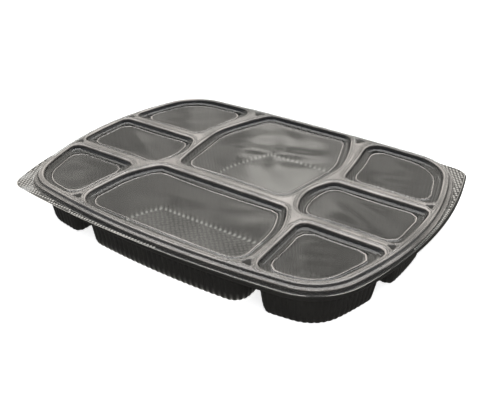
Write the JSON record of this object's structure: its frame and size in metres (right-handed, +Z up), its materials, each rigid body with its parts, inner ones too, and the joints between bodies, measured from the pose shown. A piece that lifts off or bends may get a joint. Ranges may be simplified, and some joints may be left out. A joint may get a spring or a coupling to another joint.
{
  "type": "meal tray",
  "caption": "Shallow compartment meal tray in black plastic with fluted cups, under a clear press-on lid with sunken panels and a corner peel tab",
  "frame": {"origin": "on the table under the middle of the footprint, at the flat undersides of the cups", "axes": "+X along the long side, +Y from the front, where the wide low cup is, to the back, +Z up through the lid"},
  "size_m": [0.3257, 0.2413, 0.04],
  "materials": {
    "tray_plastic": "thermoformed black polypropylene, soft gloss",
    "lid_film": "clear thermoformed lid sheet, glossy, knurled flange tabs"
  },
  "bodies": {
    "root": {"tray": "tray_plastic", "lid": "lid_film"}
  },
  "joints": []
}
